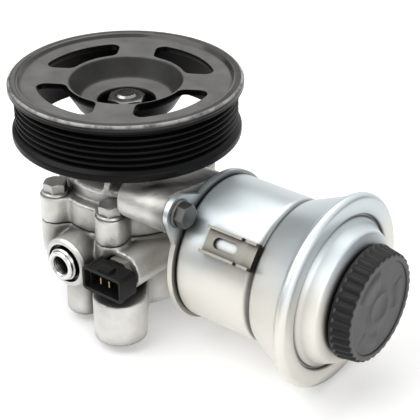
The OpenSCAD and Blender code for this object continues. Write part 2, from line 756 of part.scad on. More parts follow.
module valve_spring() {
    turns = 5;
    steps = 18;
    wire = 0.8;
    mean = valve_r - 1.3;
    n = turns * steps;
    rise = (valve_room - 2 * wire) / n;
    function ring(i) = [for (k = [0:7]) let (a = 360 * i / steps, t = 45 * k)
        [(mean + wire * cos(t)) * cos(a), (mean + wire * cos(t)) * sin(a), wire + rise * i + wire * sin(t)]];
    points = [for (i = [0:n]) each ring(i)];
    sides = [for (i = [0:n - 1], k = [0:7]) let (m = 8 * i, j = (k + 1) % 8)
        [m + k, m + 8 + k, m + 8 + j, m + j]];
    ends = [[for (k = [0:7]) k], [for (k = [7:-1:0]) 8 * n + k]];
    color([0.45, 0.45, 0.48]) on_y(0, y_spool_end, port_z)
        polyhedron(points, concat(sides, ends), convexity = 8);
}

module switch_body() {
    color([0.72, 0.7, 0.62]) {
        on_minus_y(switch_x, -switch_face + switch_shank, switch_z)
            cylinder(r = switch_r, h = switch_shank + 1);
        on_minus_y(switch_x, -switch_face, switch_z)
            cylinder(d = switch_af / cos(30), h = switch_hex, $fn = 6);
    }
}

module switch_plug() {
    floor_t = 4;
    color([0.03, 0.03, 0.035]) difference() {
        union() {
            translate([switch_x - plug_w / 2, y_plug - plug_len, switch_z - plug_h / 2])
                cube([plug_w, plug_len, plug_h]);
            translate([switch_x - 4, y_plug - plug_len + 2, switch_z + plug_h / 2 - 0.5]) cube([8, 6, 2]);
        }
        translate([switch_x, y_plug - plug_len - 1, switch_z])
            translate([-plug_w / 2 + plug_wall, 0, -plug_h / 2 + plug_wall])
                cube([plug_w - 2 * plug_wall, plug_len - floor_t + 1, plug_h - 2 * plug_wall]);
    }
}

module switch_terminals() {
    color([0.8, 0.72, 0.45]) for (s = [-1, 1])
        translate([switch_x + s * 3 - 0.4, y_plug - plug_len + 3, switch_z - 2]) cube([0.8, plug_len - 7, 4]);
}

module tank_flange() {
    color([0.86, 0.86, 0.85]) difference() {
        union() {
            on_x(tank_x, 0, tank_z) cylinder(d = tank_flange_d, h = tank_flange_t);
            for (a = tank_bolt_angles)
                on_x(tank_x, 0, tank_z) linear_extrude(tank_flange_t)
                    link([0, 0], 30, tank_bolt_r * [cos(a), sin(a)], bolt_ear_r + 1);
        }
        for (k = [0, 1])
            lug_spot(k) on_x(tank_x - 1, 0, 0) cylinder(r = bolt_r + 0.4, h = tank_flange_t + 2);
        on_x(tank_x - 1, 0, suction_z) cylinder(r = spout_r + seat_gap, h = tank_flange_t + 2);
    }
}

module tank_bolts() {
    color([0.5, 0.5, 0.5]) for (k = [0, 1])
        lug_spot(k) on_x(x_can, 0, 0) flange_bolt(tank_flange_t + bolt_grip);
}

module tank_cup() {
    t = sheet_t;
    color([0.85, 0.86, 0.87]) difference() {
        on_x(0, 0, tank_z) turned(concat(
            [[0, x_can], [can_r - 4, x_can]], arc(can_r - 3, x_can + 3, 3, -70, 0, 4),
            [[can_r, x_flare - 3], [can_r - 1, x_flare - 0.8], [can_r - 1, x_flare + 0.4]],
            [[can_r + 0.6, x_flare + 2], [crest_top - 2.6, x_crest - 3.4]],
            arc(crest_top - crimp_r, x_crest, crimp_r, -25, 90, 8),
            [[cover_r + 1.4, x_crimp], [cover_r + 0.6, x_crimp - t]],
            [[crest_top - crimp_r, x_crimp - t]],
            arc(crest_top - crimp_r, x_crest, crimp_r - t, 90, -25, 6),
            [[crest_top - 2.6 - t, x_crest - 3], [can_r + 0.6 - t, x_flare + 2.4]],
            [[can_r - 1 - t, x_flare + 1], [can_r - 1 - t, x_flare - 1.2], [can_r - t, x_flare - 3.2]],
            arc(can_r - 3 - 0.2, x_can + 3 + 0.2, 3 - t + 0.2, 0, -70, 4),
            [[can_r - 5, x_can + t], [0, x_can + t]]));
        on_x(x_can - 1, 0, suction_z) cylinder(r = spout_r + seat_gap, h = sheet_t + 2);
        on_y(nipple_x, can_r - 14, nipple_z) cylinder(r = nipple_r + seat_gap, h = 20);
    }
}

module tank_cover() {
    t = sheet_t;
    edge_r = crest_top - crimp_r - 0.4;
    foot_r = neck_tube_r + 5.4;
    mid_r = (cover_r + foot_r) / 2;
    color([0.9, 0.9, 0.89]) on_x(0, 0, tank_z) turned(concat(
        [[edge_r, x_cover - t], [edge_r, x_cover], [cover_r, x_cover]],
        [[cover_r - 0.6, x_cover + 1], [cover_r - 2.4, x_cover + 2.6]],
        [[mid_r, x_neck - 3.2], [foot_r, x_neck - 0.8]],
        arc(neck_tube_r + 2, x_neck + 2, 2, -100, -180, 4),
        [[neck_tube_r, x_rim - 0.6], [neck_tube_r - 0.6, x_rim], [neck_tube_r - t - 0.2, x_rim]],
        [[neck_tube_r - t - 0.2, x_neck + 0.6], [neck_tube_r - 0.4, x_neck - t]],
        [[foot_r - 0.4, x_neck - t - 1], [mid_r - 0.6, x_neck - 3.2 - t]],
        [[cover_r - 3.4, x_cover + 1.4], [cover_r - 2, x_cover - t]]));
}

module tank_bracket() {
    t = 1.6;
    color([0.88, 0.88, 0.86])
    translate([x_bracket, 0, tank_z]) rotate([bracket_angle - 90, 0, 0]) difference() {
        union() {
            translate([0, -bracket_w / 2, can_r - 1]) cube([bracket_len, bracket_w, 1.4 + t]);
            for (s = [-1, 1])
                translate([0, s * (bracket_w - t) / 2 - t / 2, can_r]) cube([bracket_len, t, 5]);
        }
        rotate([0, 90, 0]) translate([0, 0, -1]) cylinder(r = can_r + seat_gap, h = bracket_len + 2);
        translate([8, 0, can_r - 3]) linear_extrude(12) link([0, 0], 3, [9, 0], 3);
        translate([bracket_len - 9, -bracket_w, can_r + 2.4]) cube([2.4, 2 * bracket_w, 6]);
    }
}

module suction_spout() {
    color([0.75, 0.76, 0.77]) difference() {
        on_x(tank_x - spout_in, 0, suction_z) tube(spout_r, spout_r - 2, x_can + sheet_t - tank_x + spout_in);
        on_x(tank_x - 9, 0, suction_z) tube(spout_r + 1, spout_r - 1.2, 2.4);
    }
}

module spout_seal() {
    color([0.07, 0.07, 0.07]) on_x(tank_x - 7.8, 0, suction_z) torus(spout_r - 0.6, 0.6);
}

module strainer() {
    x0 = x_can + sheet_t;
    color([0.7, 0.72, 0.7]) difference() {
        on_x(x0, 0, suction_z) tube(strainer_r, strainer_r - 1.2, strainer_len);
        for (a = [0:45:315])
            on_x(x0, 0, suction_z) rotate([0, 0, a]) translate([0, -strainer_r / 5, strainer_len / 5])
                cube([2 * strainer_r, strainer_r / 2.5, strainer_len * 0.6]);
    }
    color([0.7, 0.72, 0.7]) on_x(x0 + strainer_len, 0, suction_z) cylinder(r = strainer_r, h = 1);
}

module return_nipple() {
    color([0.8, 0.8, 0.78]) on_y(nipple_x, can_r - 8, nipple_z) turned([[nipple_r - 1.4, 0], [nipple_r, 0],
        [nipple_r, nipple_len - 2], [nipple_r + 0.8, nipple_len], [nipple_r, nipple_len + 4],
        [nipple_r, nipple_len + 8], [nipple_r - 1.4, nipple_len + 8]]);
}

module cap() {
    color([0.13, 0.13, 0.14]) difference() {
        on_x(0, 0, tank_z) turned([[cap_bore_r, cap_foot], [cap_r - 0.6, cap_foot], [cap_r, cap_foot + 0.8],
            [cap_face_r, cap_end - 1.2], [cap_face_r - 1.2, cap_end], [cap_face_r - 3.4, cap_end],
            [cap_face_r - 4, cap_end - 0.9], [0, cap_end - 0.9], [0, cap_roof], [cap_bore_r, cap_roof]]);
        for (i = [0:grip_n - 1])
            on_x(cap_foot + 1.6, 0, tank_z) rotate([0, 0, 360 / grip_n * i])
                translate([cap_r + 0.5, 0, 0]) rotate([0, atan2(cap_face_r - cap_r, cap_h), 0])
                    cylinder(r = 1.5, h = cap_h, $fn = 6);
    }
}

module cap_gasket() {
    color([0.06, 0.06, 0.06]) on_x(x_rim, 0, tank_z) tube(neck_tube_r, gasket_r1, gasket_t);
}

module dipstick() {
    color([0.16, 0.16, 0.17]) {
        on_x(x_rim, 0, tank_z) cylinder(r = gasket_r1 - seat_gap, h = gasket_t);
        translate([x_rim - dip_len, -3, tank_z - 0.9]) cube([dip_len + 1, 6, 1.8]);
    }
}

front_housing();
rear_housing();
housing_bolts();
housing_seal();
shaft_bush();
shaft_seal();
bearing_outer();
bearing_circlip();
cam_ring();
front_plate();
rear_plate();
dowel_pins();
plate_spring();
port_union();
union_seal();
valve_spring();
switch_body();
switch_plug();
switch_terminals();
tank_flange();
tank_bolts();
tank_cup();
tank_cover();
tank_bracket();
suction_spout();
spout_seal();
strainer();
return_nipple();
pulley();
pulley_hub();
lock_washer();
pulley_nut();
drive_shaft();
shaft_key();
bearing_inner();
rotor();
rotor_circlip();
bearing_cage();
bearing_balls();
vane(1);  // vane_1
vane(2);  // vane_2
vane(3);  // vane_3
vane(4);  // vane_4
vane(5);  // vane_5
vane(6);  // vane_6
vane(7);  // vane_7
vane(8);  // vane_8
vane(9);  // vane_9
vane(10);  // vane_10
flow_spool();
cap_gasket();
dipstick();
cap();
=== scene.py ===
# %% [markdown]
# Power steering pump: dressing a CAD model in Blender.
# The CAD model is already true in size and place, so it is loaded as a fixed frame and never moved.
# This lesson gives each piece of it the shape and the finish that a camera sees: soft edges on the
# castings, rolled lips on the sheet metal, grain on the plastic. All sizes are written in millimetres
# and turned into metres by one factor, because Blender and the frame both work in metres.

# %% Load the frame
import json
import math

import bmesh
import bpy
from mathutils import Matrix, Vector


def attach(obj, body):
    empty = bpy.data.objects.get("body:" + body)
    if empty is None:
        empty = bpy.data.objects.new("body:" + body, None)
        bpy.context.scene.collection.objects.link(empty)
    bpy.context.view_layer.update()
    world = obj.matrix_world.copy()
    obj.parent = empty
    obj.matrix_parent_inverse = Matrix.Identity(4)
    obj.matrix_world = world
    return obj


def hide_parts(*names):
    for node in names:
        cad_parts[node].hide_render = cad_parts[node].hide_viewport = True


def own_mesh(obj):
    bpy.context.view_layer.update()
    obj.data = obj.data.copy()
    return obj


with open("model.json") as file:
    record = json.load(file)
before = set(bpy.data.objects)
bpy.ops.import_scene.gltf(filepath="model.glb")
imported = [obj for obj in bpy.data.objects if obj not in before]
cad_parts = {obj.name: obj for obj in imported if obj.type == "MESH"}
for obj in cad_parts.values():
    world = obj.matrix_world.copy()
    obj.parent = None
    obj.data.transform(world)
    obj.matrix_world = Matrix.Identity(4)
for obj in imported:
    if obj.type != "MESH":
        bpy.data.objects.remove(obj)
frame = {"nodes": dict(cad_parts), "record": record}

MM = 0.001
scene = bpy.context.scene
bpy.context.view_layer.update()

# %% [markdown]
# The camera comes first, because every later choice is judged through it.
# The photograph looks down at the pump by 30 degrees, from between its port and its tank cap.
# A long lens, about three times the width of its film, keeps the pulley's ellipse as flat as it is there.

# %% Camera
AZIMUTH, ELEVATION = math.radians(38.142), math.radians(30.0)
AIM = Vector((58.56, 0.16, 72.57)) * MM
DISTANCE = 725.2 * MM

right = Vector((math.cos(AZIMUTH), math.sin(AZIMUTH), 0))
back = Vector((
    math.sin(AZIMUTH) * math.cos(ELEVATION),
    -math.cos(AZIMUTH) * math.cos(ELEVATION),
    math.sin(ELEVATION),
))
up = back.cross(right)
lens = bpy.data.cameras.new("camera")
lens.lens = 113.3
lens.sensor_width = 36
lens.sensor_fit = "HORIZONTAL"
lens.clip_start = 0.01
camera = bpy.data.objects.new("camera", lens)
camera.matrix_world = Matrix((right, up, back)).transposed().to_4x4()
camera.location = AIM + back * DISTANCE
scene.collection.objects.link(camera)
scene.camera = camera
print("camera at", [round(v, 3) for v in camera.location])

# %% [markdown]
# A finish is a small graph of shader nodes. Drawing such graphs by hand is slow, so one class wraps a
# socket and lets Python's own operators add the Math nodes: writing 1 - mask adds a Subtract node. Every
# other kind of node comes from one method, which takes the node's type, its settings and its sockets.

# %% Sockets as numbers
class Sock:
    """An output socket of a node tree, usable in sums."""

    def __init__(self, tree, socket=None):
        self.tree, self.socket = tree, socket

    def put(self, target, value):
        if isinstance(value, Sock):
            self.tree.links.new(value.socket, target)
        else:
            target.default_value = value

    def node(self, kind, settings={}, sockets={}, out=0):
        made = self.tree.nodes.new(kind)
        for name, value in settings.items():
            setattr(made, name, value)
        for name, value in sockets.items():
            self.put(made.inputs[name], value)
        return Sock(self.tree, made.outputs[out])

    def math(self, operation, a, b=0.0):
        return self.node("ShaderNodeMath", {"operation": operation}, {0: a, 1: b})

    def __add__(self, other):
        return self.math("ADD", self, other)

    def __radd__(self, other):
        return self.math("ADD", other, self)

    def __sub__(self, other):
        return self.math("SUBTRACT", self, other)

    def __rsub__(self, other):
        return self.math("SUBTRACT", other, self)

    def __mul__(self, other):
        return self.math("MULTIPLY", self, other)

    def __rmul__(self, other):
        return self.math("MULTIPLY", other, self)

    def __pow__(self, other):
        return self.math("POWER", self, other)

    def __gt__(self, other):
        return self.math("GREATER_THAN", self, other)

    def __lt__(self, other):
        return self.math("LESS_THAN", self, other)


print("sockets can be added, multiplied and compared")

# %% [markdown]
# Four ways of reading a surface come back in every finish: a place on the piece, a cloudy noise at a
# given size in millimetres, a soft step from one value to another, and how open a spot is, which paints
# shade into corners and holes as a darker colour. Colours are mixed by the Mix node.

# %% Small shader words
def place(m):
    """Where a spot lies on its piece, in metres."""
    return m.node("ShaderNodeTexCoord", out="Object")


def axes(m, vector):
    return [m.node("ShaderNodeSeparateXYZ", {}, {0: vector}, out=k) for k in range(3)]


def facing(m):
    """Which way the surface looks, as three numbers from -1 to 1."""
    return axes(m, m.node("ShaderNodeTexCoord", out="Normal"))


def cloud(m, size_mm, detail=3.0, stretch=(1, 1, 1)):
    spot = m.node("ShaderNodeVectorMath", {"operation": "MULTIPLY"}, {0: place(m), 1: stretch})
    return m.node("ShaderNodeTexNoise", {}, {"Vector": spot, "Scale": 1 / (size_mm * MM), "Detail": detail})


def step(m, value, low, high):
    """0 below low, 1 above high, and a soft rise between them."""
    sockets = {0: value, 1: low, 2: high, 3: 0.0, 4: 1.0}
    return m.node("ShaderNodeMapRange", {"interpolation_type": "SMOOTHSTEP"}, sockets)


def blend(m, share, first, second):
    first, second = (c if isinstance(c, Sock) else (*c, 1) for c in (first, second))
    return m.node("ShaderNodeMix", {"data_type": "RGBA"}, {0: share, 6: first, 7: second}, out=2)


def painted_occlusion(m, reach_mm, power):
    """1 on open surfaces, towards 0 in corners and deep holes; it darkens colours there as painted shade.
    """
    ambient = m.node("ShaderNodeAmbientOcclusion", {"samples": 8}, {"Distance": reach_mm * MM}, out="AO")
    return ambient ** power


def relief(m, height, depth_mm, edge_mm=0.0):
    """Small bumps from a height, on edges that look rounded over edge_mm."""
    sockets = {"Height": height, "Distance": depth_mm * MM, "Strength": 1.0}
    if edge_mm:
        sockets["Normal"] = m.node("ShaderNodeBevel", {"samples": 6}, {"Radius": edge_mm * MM})
    return m.node("ShaderNodeBump", {}, sockets)


print("shader words: place, facing, cloud, step, blend, openness, relief")

# %% [markdown]
# Each finish is a function that fills the sockets of one Principled shader, kept under the name of the
# record's material slot. Plain numbers go straight onto the shader, only what varies is linked.

# %% A place for finishes
FINISH = {}


def finish(slot, metallic=0.0, **plain):
    def keep(paint):
        made = bpy.data.materials.new(slot)
        made.use_nodes = True
        shader = made.node_tree.nodes["Principled BSDF"]
        m = Sock(made.node_tree)
        shader.inputs["Metallic"].default_value = metallic
        for name, value in plain.items():
            shader.inputs[name.replace("_", " ")].default_value = value
        for name, value in paint(m).items():
            m.put(shader.inputs[name], value)
        FINISH[slot] = made
        print("finish", slot, "has", len(made.node_tree.nodes), "nodes")
        return paint
    return keep


print("finishes so far:", len(FINISH))

# %% [markdown]
# The two housings are aluminium castings, blasted after casting: pale, slightly cloudy, with a fine grain
# that scatters the light. Where a cutter has faced them they are smoother and brighter, which a mask
# picks out by place and by the way the surface faces. Painted shade darkens their corners, and a patchy
# painted shadow darkens them behind the tank's flange, where they stand in the shadow of the tank.

# %% Cast aluminium
SQUARE = 0.985
PORT_FACE_Y, PORT_SIDE_X = -53.5 * MM, 15.5 * MM
NECK_TOP_Z, PAD_Z = 101.5 * MM, 0.6 * MM
SHADOW_FROM_X, SHADOW_FULL_X = 49 * MM, 66 * MM


@finish("cast_aluminium", metallic=0.6)
def cast_aluminium(m):
    x, y, z = axes(m, place(m))
    _, ny, nz = facing(m)
    end_face = (y < PORT_FACE_Y) * (x < PORT_SIDE_X) * (ny < -SQUARE)
    neck_face = (z > NECK_TOP_Z) * (nz > SQUARE)
    pad_face = (z < PAD_Z) * (nz < -SQUARE)
    machined = m.math("MINIMUM", end_face + neck_face + pad_face, 1.0)
    stain, skin, grain = cloud(m, 26), cloud(m, 4.5), cloud(m, 0.9)
    dull = blend(m, step(m, stain, 0.35, 0.7), (0.62, 0.607, 0.57), (0.83, 0.822, 0.795))
    unshaded_colour = blend(m, machined, dull, (0.86, 0.86, 0.85))
    # Painted shadow: the casting is darkened behind the tank's flange, patchy with the stain cloud.
    painted_shadow = step(m, x, SHADOW_FROM_X, SHADOW_FULL_X) * (0.35 + 0.8 * stain)
    return {
        # Painted shade: near black in corners and holes and in the painted shadow behind the flange.
        "Base Color": blend(m, painted_occlusion(m, 12, 2.0) * (1 - painted_shadow), (0.035, 0.034, 0.03), unshaded_colour),
        "Roughness": (0.24 + 0.16 * skin + 0.1 * grain) * (1 - machined) + 0.18 * machined,
        "Normal": relief(m, (grain * 0.8 + skin * 1.6) * (1 - machined), 0.24),
    }


# %% [markdown]
# The tank is drawn and spun from plated sheet. Its polish is even, but spinning leaves faint lines round
# the axis and the sheet is never quite true, so reflections waver a little along it. A painted reflection
# turns its colour from straw below to bluish grey on top, and painted shade darkens the crease of the neck
# and its corners.

# %% Tank steel
CREASE_X, CREASE_CORE, CREASE_EDGE = 114.7 * MM, 0.9 * MM, 3.2 * MM
REFLECTION_LOW_Z, REFLECTION_HIGH_Z, REFLECTION_DRIFT = 85 * MM, 125 * MM, 60 * MM


@finish("tank_steel", metallic=0.8)
def tank_steel(m):
    x, _, z = axes(m, place(m))
    lines, haze = cloud(m, 14, 2.0, (60, 1, 1)), cloud(m, 7)
    waver, tint = cloud(m, 34, 0.0), cloud(m, 45, 1.0)
    # Painted reflection: the sheet's colour turns from straw below to bluish grey towards the top.
    painted_sky = step(m, z + REFLECTION_DRIFT * tint, REFLECTION_LOW_Z, REFLECTION_HIGH_Z)
    sheet_and_reflection = blend(m, painted_sky, (0.8, 0.775, 0.715), (0.66, 0.72, 0.745))
    # Painted shade: a dark line in the crease of the neck, and darker corners.
    crease_shade = 1 - step(m, m.math("ABSOLUTE", x - CREASE_X), CREASE_CORE, CREASE_EDGE)
    lit_share = painted_occlusion(m, 9, 1.8) * (1 - crease_shade * (0.45 + 0.8 * tint))
    return {
        "Base Color": blend(m, lit_share, (0.04, 0.04, 0.038), sheet_and_reflection),
        "Roughness": 0.34 + 0.08 * haze + 0.06 * lines,
        "Normal": relief(m, waver * 0.7 + lines * 0.03, 0.5),
    }


# %% [markdown]
# The pulley is pressed steel, dipped in black paint. Paint is dark with a clear gloss, a little uneven
# like orange peel. Dust dulls the faces that look up, the belt keeps its track clean, and handling has
# worn the paint off the rim's upper edge; that bare edge is painted light, which also stands in for the
# highlight along the lip.

# %% Black paint
BOWL_EDGE, LIP_EDGE, FACE_EDGE, WORN_LIT_EDGE = 33.5 * MM, 57.5 * MM, 58 * MM, 63.4 * MM
BOWL_Z, LIP_Z, WORN_LIT_FROM_Z, WORN_LIT_FULL_Z = 122.5 * MM, 134.5 * MM, 135.8 * MM, 137 * MM


@finish("black_paint", Coat_Roughness=0.16, Specular_IOR_Level=0.12)
def black_paint(m):
    x, y, z = axes(m, place(m))
    nx, ny, nz = facing(m)
    peel, patch = cloud(m, 1.8, 2.0), cloud(m, 12)
    reach = x * x + y * y
    bowl = (reach < BOWL_EDGE ** 2) * (z > BOWL_Z) * (x * nx + y * ny < 0.0)
    lip = (reach > LIP_EDGE ** 2) * (z > LIP_Z)
    top = m.math("MAXIMUM", lip, (reach < FACE_EDGE ** 2) * (z > BOWL_Z))
    fallen = m.math("MAXIMUM", step(m, nz, 0.35, 0.95) * top, 0.2 * bowl)
    dust = fallen * (0.4 + 0.6 * patch) * (1 - 0.5 * lip)
    # Worn paint on the rim's upper edge, painted as light bare metal, which also gives the painted
    # highlight along the lip.
    rubbed_and_lit = step(m, z, WORN_LIT_FROM_Z, WORN_LIT_FULL_Z) * step(m, cloud(m, 7), 0.25, 0.6)
    wear_and_highlight = (reach > WORN_LIT_EDGE ** 2) * rubbed_and_lit
    paint = blend(m, dust, (0.002, 0.002, 0.0023), (0.22, 0.215, 0.208))
    return {
        "Base Color": blend(m, 0.8 * wear_and_highlight, paint, (0.5, 0.495, 0.485)),
        "Roughness": 0.34 + 0.16 * dust + 0.05 * patch,
        "Coat Weight": 0.01 + 0.6 * lip,
        "Normal": relief(m, peel, 0.05, 0.5),
    }


# %% [markdown]
# Turned and ground steel shows fine tool lines; plated steel is softer, with the faint warm tint of zinc.
# The inner pieces get their own tones, because they show when the pump is opened or seen through its
# windows. Painted shade darkens the colour of steel that stands in the shade of the pulley's bowl, of the
# bolts on the tank's flange, and of corners; the stay beyond the bolts is dull.

# %% Steels
SHADE_Z, BOLT_X, STAY_X = 112 * MM, 66 * MM, 74.5 * MM


@finish("bright_steel", metallic=1.0)
def bright_steel(m):
    z = axes(m, place(m))[2]
    smear, line = cloud(m, 6), cloud(m, 0.5, 2.0)
    bare = blend(m, smear, (0.66, 0.66, 0.655), (0.82, 0.82, 0.81))
    # Painted shade: steel above SHADE_Z, in the shade of the pulley's bowl, gets a darker colour.
    bare = blend(m, z > SHADE_Z, bare, (0.3, 0.3, 0.295))
    return {
        # Painted shade: near black in corners and holes.
        "Base Color": blend(m, painted_occlusion(m, 12, 2.2), (0.02, 0.02, 0.02), bare),
        "Roughness": 0.15 + 0.12 * smear,
        "Normal": relief(m, line, 0.02, 0.25),
    }


@finish("plated_steel", metallic=0.9)
def plated_steel(m):
    x, _, z = axes(m, place(m))
    tint, fleck = cloud(m, 5), cloud(m, 0.7)
    zinc = blend(m, tint, (0.43, 0.42, 0.385), (0.62, 0.62, 0.605))
    dull = (x > STAY_X) * (z < SHADE_Z)
    # Painted shade: the nut in the pulley's bowl and the bolts on the tank's flange, which stand in shadow,
    # get a dark colour.
    shaded_spots = m.math("MAXIMUM", z > SHADE_Z, (x > BOLT_X) * (x < STAY_X))
    bare = blend(m, shaded_spots, blend(m, dull, zinc, (0.3, 0.29, 0.255)), (0.13, 0.13, 0.128))
    return {
        # Painted shade: near black in corners.
        "Base Color": blend(m, painted_occlusion(m, 7, 2.0), (0.03, 0.03, 0.028), bare),
        "Roughness": 0.24 + 0.16 * tint + 0.06 * fleck + 0.2 * dull,
        "Normal": relief(m, fleck, 0.03, 0.3),
    }


@finish("tool_steel", metallic=1.0)
def tool_steel(m):
    wear, line = cloud(m, 3), cloud(m, 4, 2.0, (1, 1, 12))
    return {
        "Base Color": blend(m, wear, (0.4, 0.4, 0.41), (0.58, 0.58, 0.59)),
        "Roughness": 0.22 + 0.14 * line,
        "Normal": relief(m, line, 0.02, 0.15),
    }


@finish("spring_steel", metallic=1.0)
def spring_steel(m):
    oil = cloud(m, 2)
    return {
        "Base Color": blend(m, oil, (0.16, 0.16, 0.18), (0.34, 0.34, 0.35)),
        "Roughness": 0.25 + 0.2 * oil,
        "Normal": relief(m, oil, 0.02, 0.15),
    }


@finish("bronze", metallic=1.0)
def bronze(m):
    age, line = cloud(m, 3), cloud(m, 0.6)
    return {
        "Base Color": blend(m, age, (0.28, 0.2, 0.11), (0.45, 0.34, 0.19)),
        "Roughness": 0.24 + 0.2 * age,
        "Normal": relief(m, line, 0.02, 0.15),
    }


print("finishes so far:", sorted(FINISH))

# %% [markdown]
# Plastics and rubber have no metal in them, so light sinks in a little and comes back in their own
# colour. Moulded plastic carries the fine spark-eroded grain of its tool. The cap is greyer, faded and
# rubbed where hands turn it.

# %% Plastics and rubber
@finish("cap_plastic", Specular_IOR_Level=0.25)
def cap_plastic(m):
    nx = facing(m)[0]
    grain, fade = cloud(m, 0.45, 2.0), cloud(m, 9)
    face = step(m, nx, 0.6, 0.98)
    bare = blend(m, fade, (0.005, 0.005, 0.0055), (0.014, 0.014, 0.0145))
    return {
        "Base Color": blend(m, face * (0.45 + 0.55 * fade), bare, (0.17, 0.17, 0.172)),
        "Roughness": 0.42 + 0.16 * fade,
        "Normal": relief(m, grain, 0.05, 0.25),
    }


@finish("black_plastic", Specular_IOR_Level=0.22)
def black_plastic(m):
    grain, fade = cloud(m, 0.35, 2.0), cloud(m, 6)
    return {
        "Base Color": blend(m, fade, (0.004, 0.004, 0.0045), (0.013, 0.013, 0.0135)),
        "Roughness": 0.36 + 0.18 * fade,
        "Normal": relief(m, grain, 0.04, 0.3),
    }


@finish("seal_rubber", Specular_IOR_Level=0.3)
def seal_rubber(m):
    bloom, pore = cloud(m, 4), cloud(m, 0.3)
    return {
        "Base Color": blend(m, bloom, (0.012, 0.012, 0.012), (0.035, 0.035, 0.036)),
        "Roughness": 0.6 + 0.2 * bloom,
        "Normal": relief(m, pore, 0.03),
    }


print("finishes so far:", len(FINISH))

# %% [markdown]
# Every CAD node starts with the finish of its record slot. The nodes that are replaced below lose this
# look again, the others keep it, such as the shaft, the bearing, the vane pack, the seals and the valve's
# spool.

# %% Paint the CAD nodes
for row in frame["record"]["subparts"]:
    held = frame["nodes"][row["node"]]
    for spot in held.material_slots:
        spot.material = FINISH[row["material_slot"]]

# %% [markdown]
# Most pieces of a pump are turned or pressed round an axis, so one helper spins an outline of radius and
# height about a line. A second helper eases the outline's corners, because a real edge is never sharp and
# it is the rounded edge that catches the light.

# %% Spinning an outline
TANK_Z, PORT_Z, SUCTION_Z = 54, 43, 77
SHAFT = Matrix.Identity(4)
TANK = Matrix(((0, 0, 1, 0), (1, 0, 0, 0), (0, 1, 0, TANK_Z), (0, 0, 0, 1)))
PORT = Matrix(((1, 0, 0, 0), (0, 0, -1, 0), (0, 1, 0, PORT_Z), (0, 0, 0, 1)))


def eased(points, reach, steps=4):
    """A closed outline with each corner rounded over up to reach millimetres of its two sides."""
    out = []
    for k, q in enumerate(points):
        q = Vector(q)
        a, b = Vector(points[k - 1]) - q, Vector(points[(k + 1) % len(points)]) - q
        cut = min(reach, a.length * 0.45, b.length * 0.45)
        if q.x < 1e-6 or cut < 1e-4 or a.angle(b) > math.radians(172):
            out.append(q)
            continue
        a, b = q + a.normalized() * cut, q + b.normalized() * cut
        out += [a.lerp(q, t).lerp(q.lerp(b, t), t) for t in (s / steps for s in range(steps + 1))]
    return out


def stitch(bm, loops, ring=True):
    """Faces between loops of equal length; the last loop joins the first if ring is set."""
    count = len(loops)
    for k in range(count if ring else count - 1):
        one, two = loops[k], loops[(k + 1) % count]
        for i in range(len(one)):
            j = (i + 1) % len(one)
            bm.faces.new((one[i], two[i], two[j], one[j]))


def spun(outline, seat, steps):
    """A bmesh of a closed outline spun about the seat's own Z axis."""
    bm = bmesh.new()
    loops = []
    for k in range(steps):
        a = 2 * math.pi * k / steps
        spots = [seat @ Vector((p[0] * math.cos(a), p[0] * math.sin(a), p[1])) * MM for p in outline]
        loops.append([bm.verts.new(spot) for spot in spots])
    stitch(bm, loops)
    bmesh.ops.remove_doubles(bm, verts=bm.verts, dist=1e-7)
    return bm


print("spun and eased are ready")

# %% [markdown]
# A piece is a mesh with a finish that rides on one body of the pump and stands for the CAD nodes it
# copies. Holes are cut with Boolean modifiers, as a drill would: each cutter is a cylinder between two
# points.

# %% Pieces and cutters
def as_object(name, bm):
    bmesh.ops.recalc_face_normals(bm, faces=bm.faces)
    mesh = bpy.data.meshes.new(name)
    bm.to_mesh(mesh)
    bm.free()
    made = bpy.data.objects.new(name, mesh)
    scene.collection.objects.link(made)
    return made


def settle(held):
    """Bakes the modifiers of an object into its mesh."""
    graph = bpy.context.evaluated_depsgraph_get()
    mesh = bpy.data.meshes.new_from_object(held.evaluated_get(graph))
    held.modifiers.clear()
    held.data = mesh


def drill(start, end, radius, steps=72):
    bm = bmesh.new()
    start, end = Vector(start) * MM, Vector(end) * MM
    turn = (end - start).to_track_quat("Z", "Y").to_matrix().to_4x4()
    bmesh.ops.create_cone(
        bm, cap_ends=True, segments=steps, radius1=radius * MM, radius2=radius * MM,
        depth=(end - start).length, matrix=Matrix.Translation((start + end) / 2) @ turn)
    return as_object("cutter", bm)


def carve(held, cutters, operation="DIFFERENCE"):
    """Cuts held with each cutter, then drops the slivers of no area that a cut can leave."""
    for cutter in cutters:
        cut = held.modifiers.new("cut", "BOOLEAN")
        cut.operation = operation
        cut.solver = "MANIFOLD"
        cut.object = cutter
    settle(held)
    bm = bmesh.new()
    bm.from_mesh(held.data)
    bmesh.ops.dissolve_degenerate(bm, dist=1e-7, edges=bm.edges)
    bm.to_mesh(held.data)
    bm.free()
    for cutter in cutters:
        bpy.data.objects.remove(cutter)
    return held


def fit(held, body, slot, *nodes, sharp=38):
    """Gives a finished object its shading, its finish and its body, and hides the nodes that it stands for.
    """
    mesh = held.data
    mesh.materials.clear()
    mesh.materials.append(FINISH[slot])
    mesh.shade_smooth()
    mesh.set_sharp_from_angle(angle=math.radians(sharp))
    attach(held, body)
    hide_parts(*nodes)
    print(held.name, "on", body, "has", len(mesh.polygons), "faces")
    return held


# %% [markdown]
# The castings. In CAD their corners are sharp, but molten metal fills a mould with round edges and hollow
# corners. Copying the CAD mesh, rebuilding it from small voxels and smoothing it a little gives all of
# them at once, and the machined bores are then cut clean again, as they are in the workshop. The front
# casting holds the vane pack, the shaft's bush, its seal and its bearing in one row of bores.

# %% Front casting
VOXEL, ROUNDS = 0.9, 7


